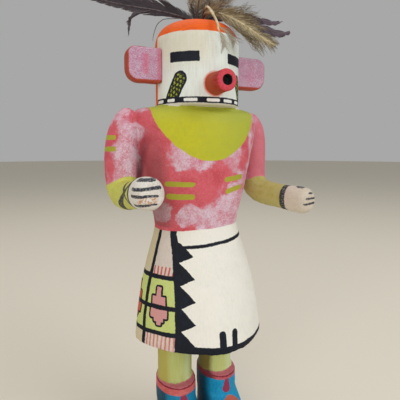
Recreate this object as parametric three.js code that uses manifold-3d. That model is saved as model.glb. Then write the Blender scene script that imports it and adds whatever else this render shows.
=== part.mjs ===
// A carved and painted katsina (kachina) doll on a low wooden base, in millimetres, +Z up.
// The origin is the middle of the figure's axis on the underside of the base. The doll faces -Y
// and its own left is +X.
import * as THREE from "three";
import { mergeVertices } from "three/addons/utils/BufferGeometryUtils.js";
import Module from "manifold-3d";

const wasm = await Module();
wasm.setup();

// ---- driving dimensions ----
const GAP = 0.3; // left between pieces that touch
const BASE = { thick: 11, halfWidth: 36, halfDepth: 29, centreY: -7, edge: 1.2 };
const SOLE_Z = BASE.thick + GAP;
const HEM_Z = 81.2; // kilt's lower edge, on the axis
const WAIST_Z = 149.4;
const CHIN_Z = 220.6; // lower edge of the case mask
const CROWN_Z = 268.5;
const HEAD = { radius: 25, crown: 12, domeRise: 0.5, chamfer: 1, turn: -1.6 };
const SOCKET = { radius: 4, depth: 6, x: 0.3, y: 0.5, above: 4 }; // drilled in the crown for the quills
const EAR = { reach: 44.4, root: 21, middleZ: 242.8, halfHeight: 9.5, thick: 7.2, frontY: -6.6, bevel: 0.9 };
const EAR_ROUNDING = { top: 4.6, bottom: 6.2 };
const SNOUT = { radius: 5.7, flare: 0.3, length: 14, root: 21, middleZ: 231.8, round: 0.6 };
const SNOUT_BORE = { radius: 2.7, depth: 4 };
const LEG = { x: 14.9, halfWidth: 11.2, halfDepth: 11.2, centreY: 3 };
const BOOT = { topZ: 48.8, x: 15, halfWidth: 12.6, halfDepth: 15.8, centreY: 1.5, rim: 0.5 };

// Body sections from the lowest up: [height, half-width, half-depth, centre y, squareness, slope].
// Squareness 2 is an ellipse, and a section with a slope rises towards +X.
const TORSO = [
  [WAIST_Z - 2, 26.3, 19.2, 1.7],
  [WAIST_Z + 4, 26.8, 19.6, 1.6],
  [168, 30.6, 21.6, 1.4],
  [186, 34.4, 22.8, 1.2],
  [203, 38.2, 23.2, 1.2],
  [212.5, 40, 22.4, 1.4],
  [217.2, 39.6, 20.6, 1.6],
  [219.2, 37.2, 18.2, 1.8],
  [222.5, 18, 15, 1],
];
const KILT = [
  [HEM_Z, 43.2, 36.5, -4.9, 1.58, -0.044],
  [HEM_Z + 17, 40.8, 33.5, -3.3, 1.68, -0.026],
  [HEM_Z + 34, 37.4, 29.8, -1.6, 1.78, -0.006],
  [HEM_Z + 51, 32.4, 24.8, 0, 1.89, 0.014],
  [HEM_Z + 62.5, 28.6, 21.2, 1.1, 1.96, 0.028],
  [WAIST_Z, 27, 19.7, 1.7, 2, 0.035],
];
const FOOT = [
  [SOLE_Z, 11.8, 23.6, -5.2],
  [SOLE_Z + 1.6, 12.8, 25, -5.6],
  [SOLE_Z + 9, 13, 25.2, -5.8],
  [SOLE_Z + 14.5, 12.9, 23.6, -4.6],
  [SOLE_Z + 19, 12.7, 20.4, -2.3],
  [SOLE_Z + 24, 12.6, 16.2, 1.2],
];

// Wood left between the body and the right upper arm, which is carved close to it.
const UNDERARM_X = -33.6;
const UNDERARM = [
  [166, 2.4, 5, 5],
  [171, 4.2, 7, 6],
  [179, 5.4, 9, 7],
  [192, 6.4, 9.5, 7],
  [204, 6, 11, 5],
];

// Arm stations from the shoulder to the end of the fist, x outwards from the axis:
// [x, y, z, half-width across the bend, half-width in its plane].
const RIGHT_ARM = [
  [38.6, 4, 216.2, 2.5, 3],
  [39.8, 4, 215.4, 6.6, 7],
  [42.6, 4.2, 211, 8.4, 9.6],
  [45, 4.6, 203.5, 9.4, 10.2],
  [46.2, 5, 194, 9.8, 10.4],
  [46.7, 5.2, 183, 9.5, 10],
  [46.9, 3.4, 175, 8.9, 9.3],
  [46.8, -2, 170.8, 8.3, 8.6],
  [46.3, -10, 170.8, 7.9, 8],
  [45.5, -21, 172.6, 7.4, 7.6],
  [45, -28, 173.8, 7.8, 8.2],
  [44.5, -35, 174.6, 8.2, 8.6],
  [44.2, -40.5, 174.9, 7.8, 8.2],
  [44.1, -43.4, 175, 5.6, 6],
];
const LEFT_ARM = [
  [37, 4, 217, 2.5, 3],
  [38.6, 4, 216, 6.2, 7],
  [41, 4.2, 211.2, 8, 9.4],
  [43, 4.4, 204, 8.6, 9.8],
  [43.9, 4.8, 194, 8.7, 9.8],
  [44.3, 5, 183, 8.6, 9.4],
  [44.8, 3.6, 174.5, 8.4, 9],
  [46.6, -2, 168.8, 8.2, 8.5],
  [49.4, -10, 167, 7.9, 8],
  [52.4, -19, 166, 7.5, 7.8],
  [54.8, -25.5, 165.4, 7.8, 8.2],
  [56.6, -31.5, 165, 8, 8.5],
  [57.8, -35.8, 164.8, 7.4, 7.8],
  [58.4, -38, 164.7, 5.2, 5.4],
];

// Feathers from the quill's end to the tip: stations [x, y, z, half-width], the half-thickness of the
// vane, and the way its flat side faces. All start upright in the socket.
const FACING = new THREE.Vector3(-0.43, -0.9, 0.05);
const FEATHERS = {
  feather_dark: {
    colour: 0x3a3036,
    thick: 0.7,
    stations: [
      [-2.2, 0.6, 263.2, 0.7],
      [-2.8, 1.2, 270.4, 0.7],
      [-9, 4.3, 276, 4.6],
      [-22, 10.5, 281, 6.6],
      [-36, 17, 284, 6.8],
      [-50, 24, 286.6, 5],
      [-64, 30.5, 288.4, 0.7],
    ],
  },
  feather_buff: {
    colour: 0xb39a6c,
    thick: 0.9,
    stations: [
      [-0.6, 2.8, 263.2, 0.7],
      [-0.4, 3.2, 270.6, 0.9],
      [1.6, 3, 277, 5.6],
      [3, 3.4, 287, 8],
      [2.8, 5, 298, 7.4],
      [1, 8, 308, 4.4],
      [-1, 10.6, 313, 0.8],
    ],
  },
  feather_grey: {
    colour: 0x8d7a5e,
    thick: 0.9,
    stations: [
      [1.7, 2.5, 263.2, 0.7],
      [3.2, 3, 270.8, 0.8],
      [10, 2.6, 277, 4.2],
      [17, 1.4, 285, 7],
      [24, 0.6, 294, 6.4],
      [30, 1.6, 301, 3.6],
      [33, 2.6, 304, 0.8],
    ],
  },
  feather_tan: {
    colour: 0x9a8a66,
    thick: 1,
    stations: [
      [1.3, -1.6, 263.2, 0.7],
      [2.2, -4, 271, 0.8],
      [7.4, -11, 275.2, 5],
      [14.5, -18.6, 271.6, 7.4],
      [22, -24, 264.6, 7.6],
      [30, -28.4, 257.2, 5.6],
      [36.4, -31.6, 252, 0.8],
    ],
  },
  feather_purple: {
    colour: 0x4d3f4c,
    thick: 0.8,
    stations: [
      [2.9, 0.5, 263.2, 0.7],
      [4.4, 0.2, 270.8, 0.8],
      [12, -4.2, 275.4, 3.8],
      [23, -10, 275, 5.6],
      [35, -16, 271, 6.2],
      [44.5, -20.8, 268, 4.6],
      [51.5, -24.2, 265.6, 0.8],
    ],
  },
  feather_quill: {
    colour: 0xcdbf98,
    thick: 0.6,
    stations: [
      [-1.2, -1.8, 263.2, 0.7],
      [-1.2, -3.6, 271.6, 0.7],
      [-1, -10, 276.4, 0.8],
      [-0.6, -17, 274, 0.9],
      [-0.2, -24, 266.4, 1],
      [0.4, -29, 258, 1.8],
      [1.6, -30.6, 251.6, 3.6],
      [2.4, -31, 245.6, 0.8],
    ],
  },
};

// ---- helpers ----
function paint(color, roughness = 0.8) {
  return new THREE.MeshStandardMaterial({ color, roughness, metalness: 0 });
}

// A closed body through rings: place(i, x, y) sets a point of ring i's unit circle in space.
function ringBody(count, segments, place) {
  const rim = Array.from({ length: count }, (_, i) => new THREE.Vector2(1, i));
  const profile = [new THREE.Vector2(0, 0), ...rim, new THREE.Vector2(0, count - 1)];
  const body = new THREE.LatheGeometry(profile, segments);
  const points = body.attributes.position;
  for (let i = 0; i < points.count; i += 1) {
    const at = place(Math.round(points.getY(i)), points.getZ(i), points.getX(i));
    points.setXYZ(i, at.x, at.y, at.z);
  }
  return body;
}

// Sections resampled by a smooth curve through the given ones, about every `step` mm of height.
function smoothSections(keys, step) {
  const heights = keys.map((key) => key[0]);
  const values = keys.flatMap((key) => key.slice(1));
  const curve = new THREE.CubicInterpolant(heights, values, keys[0].length - 1);
  const sections = [];
  for (let k = 0; k + 1 < keys.length; k += 1) {
    const pieces = Math.max(1, Math.round((heights[k + 1] - heights[k]) / step));
    for (let i = 0; i < pieces; i += 1) {
      const z = heights[k] + ((heights[k + 1] - heights[k]) * i) / pieces;
      sections.push([z, ...curve.evaluate(z)]);
    }
  }
  return [...sections, keys[keys.length - 1]];
}

// Upright body through sections, standing at x.
function sectionBody(sections, segments, x = 0, usualSquareness = 2) {
  return ringBody(sections.length, segments, (i, c, s) => {
    const [z, halfWidth, halfDepth, y, squareness = usualSquareness, slope = 0] = sections[i];
    const size = Math.abs(c) ** squareness + Math.abs(s) ** squareness;
    const reach = size && size ** (-1 / squareness);
    const side = halfWidth * c * reach;
    return new THREE.Vector3(x + side, y + halfDepth * s * reach, z + slope * side);
  });
}

// Swept body through stations [x, y, z, width, other width], its rings square to the path:
// sideOf(tangent) is the way of the first width, and sizesOf turns a station's widths into half-widths.
function sweptBody(stations, segments, rings, sideOf, sizesOf) {
  const places = stations.map(([x, y, z]) => new THREE.Vector3(x, y, z));
  const path = new THREE.CatmullRomCurve3(places, false, "centripetal");
  const widths = new THREE.SplineCurve(stations.map(([, , , a, b = 0]) => new THREE.Vector2(a, b)));
  return ringBody(rings + 1, segments, (i, c, s) => {
    const t = i / rings;
    const tangent = path.getTangent(t);
    const across = sideOf(tangent);
    const other = new THREE.Vector3().crossVectors(tangent, across);
    const [a, b] = sizesOf(widths.getPoint(t));
    return path.getPoint(t).addScaledVector(across, a * c).addScaledVector(other, b * s);
  });
}

function solid(geometry) {
  const bare = geometry.clone();
  bare.deleteAttribute("normal");
  bare.deleteAttribute("uv");
  const merged = mergeVertices(bare, 1e-4);
  const vertProperties = merged.attributes.position.array;
  const triVerts = new Uint32Array(merged.index.array);
  return new wasm.Manifold(new wasm.Mesh({ numProp: 3, vertProperties, triVerts }));
}

function geometryOf(body) {
  const { vertProperties, triVerts } = body.getMesh();
  const geometry = new THREE.BufferGeometry();
  geometry.setAttribute("position", new THREE.BufferAttribute(new Float32Array(vertProperties), 3));
  geometry.setIndex(new THREE.BufferAttribute(new Uint32Array(triVerts), 1));
  geometry.computeVertexNormals();
  return geometry;
}

function named(name, geometry, material) {
  const mesh = new THREE.Mesh(geometry, material);
  mesh.name = name;
  return mesh;
}

// ---- the carved figure ----
// Upright cylinder with a rounded crown, `grow` mm larger all round.
function maskBody(segments, grow = 0) {
  const { radius, crown, domeRise, chamfer } = HEAD;
  const r = radius + grow;
  const shoulderZ = CROWN_Z - domeRise - crown;
  const profile = [new THREE.Vector2(0, CHIN_Z - grow), new THREE.Vector2(r - chamfer, CHIN_Z - grow)];
  profile.push(new THREE.Vector2(r, CHIN_Z - grow + chamfer));
  const arc = new THREE.Path().absarc(radius - crown, shoulderZ, crown + grow, 0, Math.PI / 2, false);
  profile.push(...arc.getPoints(7), new THREE.Vector2(0, CROWN_Z + grow));
  return new THREE.LatheGeometry(profile, segments).rotateX(Math.PI / 2);
}

function socketBody(radius) {
  const { x, y, depth, above } = SOCKET;
  const hole = new THREE.CylinderGeometry(radius, radius, depth + above, 16).rotateX(Math.PI / 2);
  return hole.translate(x, y, CROWN_Z + (above - depth) / 2);
}

function armBody(sign) {
  const arm = (sign < 0 ? RIGHT_ARM : LEFT_ARM).map(([x, ...rest]) => [sign * x, ...rest]);
  const sideways = (tangent) => new THREE.Vector3(1, 0, 0).addScaledVector(tangent, -tangent.x).normalize();
  return sweptBody(arm, 16, 24, sideways, (size) => [size.x, size.y]);
}

function bootBody(sign) {
  const { topZ, x, halfWidth, halfDepth, centreY, rim } = BOOT;
  const shaft = [
    [topZ - 2 * rim, halfWidth, halfDepth, centreY],
    [topZ - rim * 0.4, halfWidth - rim * 0.3, halfDepth - rim * 0.3, centreY],
    [topZ, halfWidth - rim, halfDepth - rim, centreY],
  ];
  return sectionBody([...smoothSections(FOOT, 4), ...shaft], 24, sign * x);
}

function legBody(sign) {
  const { x, halfWidth, halfDepth, centreY } = LEG;
  const leg = [
    [BOOT.topZ - 6, halfWidth, halfDepth, centreY],
    [HEM_Z + 6, halfWidth, halfDepth, centreY],
  ];
  return sectionBody(leg, 24, sign * x);
}

function figureBody() {
  const sides = [-1, 1].flatMap((sign) => [
    solid(armBody(sign)),
    solid(bootBody(sign)),
    solid(legBody(sign)),
  ]);
  const trunk = [
    solid(maskBody(48)),
    solid(sectionBody(smoothSections(TORSO, 9), 40, 0, 2.35)),
    solid(sectionBody(smoothSections(KILT, 12), 52)),
    solid(sectionBody(UNDERARM, 24, UNDERARM_X)),
  ];
  const whole = [...trunk, ...sides].reduce((sum, piece) => sum.add(piece));
  return whole.subtract(solid(socketBody(SOCKET.radius)));
}

// ---- ears and snout, glued to the mask ----
const maskRoom = solid(maskBody(48, GAP));

function earBody() {
  const { reach, root, middleZ, halfHeight, thick, frontY, bevel } = EAR;
  const { top, bottom } = EAR_ROUNDING;
  const low = middleZ - halfHeight + bevel;
  const high = middleZ + halfHeight - bevel;
  const outer = reach - bevel;
  const outline = new THREE.Shape();
  outline.moveTo(root, low);
  outline.lineTo(outer - bottom, low);
  outline.absarc(outer - bottom, low + bottom, bottom, -Math.PI / 2, 0, false);
  outline.absarc(outer - top, high - top, top, 0, Math.PI / 2, false);
  outline.lineTo(root, high);
  const edge = { bevelThickness: bevel, bevelSize: bevel, bevelSegments: 1, curveSegments: 5 };
  const options = { depth: thick - 2 * bevel, ...edge };
  const slab = new THREE.ExtrudeGeometry(outline, options).rotateX(Math.PI / 2);
  slab.translate(0, frontY + thick - bevel, 0);
  return solid(slab).subtract(maskRoom);
}

function snoutBody() {
  const { radius, flare, length, root, middleZ, round } = SNOUT;
  const tip = HEAD.radius + length;
  const profile = [
    [0, root],
    [radius + flare, root],
    [radius, tip - round],
    [radius - round, tip],
    [SNOUT_BORE.radius, tip],
    [SNOUT_BORE.radius, tip - SNOUT_BORE.depth],
    [0, tip - SNOUT_BORE.depth],
  ].map(([r, y]) => new THREE.Vector2(r, y));
  const tube = new THREE.LatheGeometry(profile, 24).rotateX(Math.PI).translate(0, 0, middleZ);
  return solid(tube).subtract(maskRoom);
}

// ---- feathers, their quills set in the crown ----
function featherBody({ stations, thick }) {
  const acrossVane = (tangent) => new THREE.Vector3().crossVectors(FACING, tangent).normalize();
  const swept = sweptBody(stations, 6, 15, acrossVane, (size) => [size.x, Math.min(size.x, thick)]);
  return solid(swept).subtract(maskRoom.subtract(solid(socketBody(SOCKET.radius - GAP))));
}

// ---- the whole doll ----
const base = [
  [0, BASE.halfWidth - BASE.edge, BASE.halfDepth - BASE.edge, BASE.centreY],
  [BASE.edge, BASE.halfWidth, BASE.halfDepth, BASE.centreY],
  [BASE.thick - BASE.edge, BASE.halfWidth, BASE.halfDepth, BASE.centreY],
  [BASE.thick, BASE.halfWidth - BASE.edge, BASE.halfDepth - BASE.edge, BASE.centreY],
];
const fittings = new THREE.Group();
fittings.rotation.z = THREE.MathUtils.degToRad(HEAD.turn);
fittings.add(named("snout", geometryOf(snoutBody()), paint(0xc84038, 0.6)));
for (const [name, sign] of [["ear_right", -1], ["ear_left", 1]]) {
  const ear = named(name, geometryOf(earBody()), paint(0xd98aa4));
  ear.scale.x = sign;
  fittings.add(ear);
}

const doll = new THREE.Group();
doll.add(named("base", sectionBody(base, 48), paint(0xb8935f)));
doll.add(named("figure", geometryOf(figureBody()), paint(0xcd505a)));
doll.add(fittings);
for (const [name, feather] of Object.entries(FEATHERS)) {
  doll.add(named(name, geometryOf(featherBody(feather)), paint(feather.colour, 0.9)));
}

export default doll;
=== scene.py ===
import math

import bmesh
import bpy
import numpy as np
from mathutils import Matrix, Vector, noise


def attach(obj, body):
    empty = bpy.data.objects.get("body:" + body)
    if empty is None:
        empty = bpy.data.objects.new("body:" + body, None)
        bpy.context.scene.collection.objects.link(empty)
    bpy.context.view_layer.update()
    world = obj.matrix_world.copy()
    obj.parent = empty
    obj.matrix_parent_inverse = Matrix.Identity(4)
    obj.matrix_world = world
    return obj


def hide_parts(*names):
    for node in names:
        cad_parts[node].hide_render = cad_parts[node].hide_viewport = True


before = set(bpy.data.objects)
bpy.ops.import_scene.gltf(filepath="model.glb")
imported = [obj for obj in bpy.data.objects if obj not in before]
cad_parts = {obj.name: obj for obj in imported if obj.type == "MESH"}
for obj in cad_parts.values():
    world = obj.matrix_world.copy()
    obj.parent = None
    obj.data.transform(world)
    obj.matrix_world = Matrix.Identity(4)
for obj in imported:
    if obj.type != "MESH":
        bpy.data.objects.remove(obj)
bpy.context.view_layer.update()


# ---- camera, light and floor ----
# A pale matt floor under soft studio light: a broad cool window light from the right, a warm weak
# fill from the left and an even pale surround. The camera looks at the figure's right front quarter.
def tint(red, green, blue):
    """A colour given in screen values from 0 to 255, as the shader's linear one."""
    linear = []
    for value in (red / 255, green / 255, blue / 255):
        linear.append(value / 12.92 if value <= 0.04045 else ((value + 0.055) / 1.055) ** 2.4)
    return (*linear, 1.0)


LIGHTS_AIM = (0, 0, 0.16)


def area_light(name, place, size, power, colour):
    """A square soft light that looks at the middle of the figure; sizes in metres, power in watts."""
    light = bpy.data.lights.new(name, "AREA")
    light.size = size
    light.energy = power
    light.color = tint(*colour)[:3]
    lamp = bpy.data.objects.new(name, light)
    lamp.location = place
    aim = Vector(LIGHTS_AIM) - Vector(place)
    lamp.rotation_euler = aim.to_track_quat("-Z", "Y").to_euler()
    bpy.context.scene.collection.objects.link(lamp)


area_light("window", (0.75, -0.95, 0.95), 0.9, 8.5, (244, 249, 255))
area_light("fill", (-0.9, -0.9, 0.6), 0.9, 6.5, (250, 248, 250))
area_light("top", (-0.1, 0.35, 1.3), 0.8, 4.5, (252, 252, 252))

surround = bpy.data.worlds.new("surround")
surround.use_nodes = True
backdrop = surround.node_tree.nodes["Background"].inputs
backdrop["Color"].default_value = tint(232, 233, 232)
backdrop["Strength"].default_value = 0.48
bpy.context.scene.world = surround
bpy.context.scene.view_settings.view_transform = "Standard"

CAMERA = {"place": (-0.0999, -0.2099, 0.1968), "pitch": 82.06, "turn": -25.47}
LENS_MM, SENSOR_MM, LENS_SHIFT = 33.35, 36, 0.00725
lens = bpy.data.cameras.new("camera")
lens.lens = LENS_MM
lens.sensor_width = SENSOR_MM
lens.shift_x = LENS_SHIFT
lens.clip_start = 0.01
camera = bpy.data.objects.new("camera", lens)
camera.location = CAMERA["place"]
camera.rotation_euler = (math.radians(CAMERA["pitch"]), 0, math.radians(CAMERA["turn"]))
bpy.context.scene.collection.objects.link(camera)
bpy.context.scene.camera = camera

floor_mesh = bpy.data.meshes.new("floor")
disc = bmesh.new()
bmesh.ops.create_circle(disc, cap_ends=True, radius=6, segments=64)
disc.to_mesh(floor_mesh)
disc.free()
floor = bpy.data.objects.new("floor", floor_mesh)
bpy.context.scene.collection.objects.link(floor)
floor_finish = bpy.data.materials.new("matt_floor")
floor_finish.use_nodes = True
floor_inputs = floor_finish.node_tree.nodes["Principled BSDF"].inputs
floor_inputs["Base Color"].default_value = tint(226, 217, 200)
floor_inputs["Roughness"].default_value = 0.9
floor_mesh.materials.append(floor_finish)


# ---- the low base ----
# An oval of bare cottonwood, sawn across and eased along both edges. The soles are glued to its top.
# The wood is pale and dry, with long soft grain along the oval and a few dark flecks.
def plug(tree, value, socket):
    """Feeds a socket from a signal or another node's output, or sets it to a plain value."""
    if isinstance(value, Signal):
        value = value.socket
    if isinstance(value, bpy.types.NodeSocket):
        tree.links.new(value, socket)
    else:
        socket.default_value = value


def add_node(tree, kind, inputs=(), **settings):
    node = tree.nodes.new(kind)
    for key, value in settings.items():
        setattr(node, key, value)
    for key, value in dict(inputs).items():
        plug(tree, value, node.inputs[key])
    return node


class Signal:
    """A number on the wires of a node tree, so that painted shapes are written as arithmetic."""

    def __init__(self, tree, socket):
        self.tree = tree
        self.socket = socket

    def math(self, operation, *others, clamp=False):
        values = dict(enumerate((self, *others)))
        node = add_node(self.tree, "ShaderNodeMath", values, operation=operation, use_clamp=clamp)
        return Signal(self.tree, node.outputs[0])

    def __add__(self, other):
        return self.math("ADD", other)

    def __sub__(self, other):
        return self.math("SUBTRACT", other)

    def __mul__(self, other):
        return self.math("MULTIPLY", other)

    def __truediv__(self, other):
        return self.math("DIVIDE", other)

    def __abs__(self):
        return self.math("ABSOLUTE")

    def low(self, other):
        return self.math("MINIMUM", other)

    def high(self, other):
        return self.math("MAXIMUM", other)

    def squared(self):
        return self.math("MULTIPLY", self)

    def ramp(self, slope, start=0.0):
        """This number times the slope plus the start, kept between 0 and 1."""
        return self.math("MULTIPLY_ADD", slope, start, clamp=True)

    def inside(self, soft=0.25):
        """1 where this distance is below zero and 0 above it, over an edge `soft` wide."""
        return self.ramp(-1 / soft, 0.5)

    def either(self, other):
        return self.math("MAXIMUM", other)

    def both(self, other):
        return self.math("MULTIPLY", other)


def parts_of(tree, vector):
    """The x, y and z of a vector as three signals."""
    split = add_node(tree, "ShaderNodeSeparateXYZ", {0: vector})
    return [Signal(tree, output) for output in split.outputs]


def vector_math(tree, operation, first, second=(0, 0, 0), factor=None):
    node = add_node(tree, "ShaderNodeVectorMath", {0: first, 1: second}, operation=operation)
    if factor is not None:
        plug(tree, factor, node.inputs["Scale"])
    return node.outputs[0]


def scaled(tree, vector, factors):
    return vector_math(tree, "MULTIPLY", vector, factors)


def object_mm(tree):
    """The place on the object, in millimetres."""
    where = add_node(tree, "ShaderNodeTexCoord")
    return scaled(tree, where.outputs["Object"], (1000, 1000, 1000))


def grainy(tree, place, scale, detail=2.0, roughness=0.5):
    """A noise of about 1/scale mm, between 0 and 1."""
    settings = {"Vector": place, "Scale": scale, "Detail": detail, "Roughness": roughness}
    return Signal(tree, add_node(tree, "ShaderNodeTexNoise", settings).outputs["Fac"])


def blend(mask, under, over):
    """The colour `under` with `over` laid on it where the mask is 1."""
    mix = {0: mask, 6: under, 7: over}
    return add_node(mask.tree, "ShaderNodeMix", mix, data_type="RGBA").outputs[2]


def new_finish(name, roughness=0.6, specular=0.5):
    """A material with its tree, its shader and the place on the object in mm."""
    finish = bpy.data.materials.new(name)
    finish.use_nodes = True
    tree = finish.node_tree
    shader = tree.nodes["Principled BSDF"]
    shader.inputs["Roughness"].default_value = roughness
    shader.inputs["Specular IOR Level"].default_value = specular
    return finish, tree, shader, object_mm(tree)


def add_bump(tree, shader, height, depth_mm, strength=1.0):
    sizes = {"Height": height, "Distance": depth_mm / 1000, "Strength": strength}
    bump = add_node(tree, "ShaderNodeBump", sizes)
    plug(tree, bump.outputs[0], shader.inputs["Normal"])


def new_group(name, inputs, outputs):
    """A shader node group with named sockets; returns its tree, its inputs and its output node."""
    group = bpy.data.node_groups.new(name, "ShaderNodeTree")
    for label, kind, value in inputs:
        socket = group.interface.new_socket(label, in_out="INPUT", socket_type=kind)
        if value is not None:
            socket.default_value = value
    for label, kind in outputs:
        group.interface.new_socket(label, in_out="OUTPUT", socket_type=kind)
    entry = group.nodes.new("NodeGroupInput")
    leave = group.nodes.new("NodeGroupOutput")
    return group, entry.outputs, leave.inputs


def use_group(tree, group, inputs):
    node = add_node(tree, "ShaderNodeGroup", node_tree=group)
    for key, value in inputs.items():
        plug(tree, value, node.inputs[key])
    return node.outputs


def merged_copy(node_name):
    """A CAD node's surface as a mesh of its own, its loose triangles joined."""
    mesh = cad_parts[node_name].data.copy()
    surface = bmesh.new()
    surface.from_mesh(mesh)
    bmesh.ops.remove_doubles(surface, verts=surface.verts, dist=2e-6)
    surface.to_mesh(mesh)
    surface.free()
    mesh.materials.clear()
    return mesh


def fine_copy(name, node_name, voxel_mm, smoothing):
    """A CAD node carved again with fine, evenly spread faces and eased edges."""
    piece = bpy.data.objects.new(name, merged_copy(node_name))
    bpy.context.scene.collection.objects.link(piece)
    carve = piece.modifiers.new("carve", "REMESH")
    carve.mode = "VOXEL"
    carve.voxel_size = voxel_mm / 1000
    ease = piece.modifiers.new("ease", "SMOOTH")
    ease.factor = 0.5
    ease.iterations = smoothing
    evaluated = piece.evaluated_get(bpy.context.evaluated_depsgraph_get())
    mesh = bpy.data.meshes.new_from_object(evaluated)
    piece.modifiers.clear()
    piece.data = mesh
    mesh.name = name
    mesh.shade_smooth()
    return piece


def knife_marks(piece, depth_mm, size_mm):
    """Moves the surface in and out a little, as knife and rasp leave it, and keeps it above the floor."""
    mesh = piece.data
    places = np.empty(len(mesh.vertices) * 3)
    normals = np.empty(len(mesh.vertices) * 3)
    mesh.vertices.foreach_get("co", places)
    mesh.vertex_normals.foreach_get("vector", normals)
    shifts = []
    for place in places.reshape(-1, 3) * (1000 / size_mm):
        shifts.append(noise.noise(place) + 0.5 * noise.noise(place * 2.3))
    moves = normals.reshape(-1, 3) * np.array(shifts)[:, None] * (depth_mm / 1000)
    moved = places.reshape(-1, 3) + moves
    moved[:, 2] = moved[:, 2].clip(0)
    mesh.vertices.foreach_set("co", moved.ravel())
    mesh.update()


def dress(piece, node_name, finish=None):
    """Gives a piece its finish, hangs it on the root and hides the CAD node it stands for."""
    if finish:
        piece.data.materials.append(finish)
    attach(piece, "root")
    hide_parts(node_name)


# Wood grain: long streaks along one direction, with fine pores; for bare wood and worn edges.
wood_grain, given, made = new_group(
    "wood_grain",
    [("Place", "NodeSocketVector", None), ("Stretch", "NodeSocketVector", (1, 1, 1))],
    [("Streaks", "NodeSocketFloat"), ("Pores", "NodeSocketFloat")],
)
stretched = scaled(wood_grain, given[0], given[1])
streaks = grainy(wood_grain, stretched, 0.6, detail=4, roughness=0.6)
pores = grainy(wood_grain, stretched, 3.1, detail=2, roughness=0.7)
plug(wood_grain, streaks, made["Streaks"])
plug(wood_grain, (pores - 0.62).inside(0.12), made["Pores"])

base_wood, tree, shader, place = new_finish("bare_cottonwood", 0.72)
grain = use_group(tree, wood_grain, {"Place": place, "Stretch": (0.12, 1, 1)})
tone = Signal(tree, grain["Streaks"]).ramp(2.2, -0.6)
wood = blend(tone, tint(168, 126, 82), tint(214, 180, 134))
patches = grainy(tree, place, 0.06, detail=3)
wood = blend((patches - 0.5).inside(0.5) * 0.35, wood, tint(150, 108, 70))
wood = blend(Signal(tree, grain["Pores"]) * 0.12, wood, tint(110, 76, 48))
plug(tree, wood, shader.inputs["Base Color"])
add_bump(tree, shader, Signal(tree, grain["Streaks"]), 0.25, 0.5)

base = fine_copy("base_oval", "base", 0.8, 4)
knife_marks(base, 0.12, 9)
dress(base, "base", base_wood)


# ---- the carved figure ----
# One block of cottonwood root, cut with knife and rasp to mask, body, kilt, legs and boots, its arms
# pegged on and carved with it. Everything on it after that is thin brushed paint.
figure = fine_copy("figure_carving", "figure", 0.95, 5)
knife_marks(figure, 0.1, 7)

HEM = {"z": 81.2, "slope": -0.044}
WAIST = {"z": 149.4, "slope": 0.035}
MASK = {"chin_z": 220.6, "radius": 25, "facing": -2.5}

# Which of the four painted zones each face is in, in the order of the materials below.
face_count = len(figure.data.polygons)
centres = np.empty(face_count * 3)
figure.data.polygons.foreach_get("center", centres)
face_x, face_y, face_z = centres.reshape(-1, 3).T * 1000
zone = np.ones(face_count, dtype=np.int32)
zone[(face_z > MASK["chin_z"] - 0.3) & (np.hypot(face_x, face_y) < MASK["radius"] + 0.6)] = 0
zone[face_z < WAIST["z"] + WAIST["slope"] * face_x + 2] = 2
zone[face_z < HEM["z"] + HEM["slope"] * face_x - 0.6] = 3
figure.data.polygons.foreach_set("material_index", zone)


# Brush edges: moves the place a little, in slow bends and in fine steps, so no edge is ruled.
hand_drawn, given, made = new_group(
    "hand_drawn",
    [
        ("Place", "NodeSocketVector", None),
        ("Bend", "NodeSocketFloat", 0.5),
        ("Tremor", "NodeSocketFloat", 0.25),
    ],
    [("Place", "NodeSocketVector")],
)
moved = given[0]
for amount, scale in ((given[1], 0.11), (given[2], 0.75)):
    noisy = add_node(hand_drawn, "ShaderNodeTexNoise", {"Vector": given[0], "Scale": scale, "Detail": 1.5})
    centred = vector_math(hand_drawn, "SUBTRACT", noisy.outputs["Color"], (0.5, 0.5, 0.5))
    sized = vector_math(hand_drawn, "SCALE", centred, factor=Signal(hand_drawn, amount) * 3)
    moved = vector_math(hand_drawn, "ADD", moved, sized)
plug(hand_drawn, moved, made[0])

# Brushed paint: one colour with long brush streaks, thin places and fine dirt.
brushed_paint, given, made = new_group(
    "brushed_paint",
    [
        ("Place", "NodeSocketVector", None),
        ("Colour", "NodeSocketColor", (0.8, 0.8, 0.8, 1)),
        ("Thin", "NodeSocketColor", (0.6, 0.6, 0.6, 1)),
        ("Stroke", "NodeSocketVector", (1, 1, 0.1)),
        ("Streakiness", "NodeSocketFloat", 0.5),
    ],
    [("Colour", "NodeSocketColor"), ("Height", "NodeSocketFloat")],
)
along_stroke = scaled(brushed_paint, given[0], given[3])
hairs = grainy(brushed_paint, along_stroke, 1.1, detail=3, roughness=0.65)
cloud = grainy(brushed_paint, given[0], 0.09, detail=3)
thin_place = (hairs * 0.6 + cloud * 0.4).ramp(4, -1.75)
thin_mask = thin_place * Signal(brushed_paint, given[4])
coat = blend(thin_mask, given[1], given[2])
dirt = (grainy(brushed_paint, given[0], 1.6, detail=2, roughness=0.8) - 0.7).ramp(6)
coat = blend(dirt * 0.35, coat, tint(96, 84, 66))
plug(brushed_paint, coat, made[0])
plug(brushed_paint, hairs, made[1])


def brushed(tree, place, colour, thin, stroke=(1, 1, 0.1), streakiness=0.5):
    names = ("Place", "Colour", "Thin", "Stroke", "Streakiness")
    return use_group(tree, brushed_paint, dict(zip(names, (place, colour, thin, stroke, streakiness))))


def brush_colour(*brushing):
    return brushed(*brushing)["Colour"]


def drawn(tree, place, bend=0.5, tremor=0.25):
    """x, y and z as the painter's hand followed them."""
    moved = use_group(tree, hand_drawn, {"Place": place, "Bend": bend, "Tremor": tremor})
    return parts_of(tree, moved[0])


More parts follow.
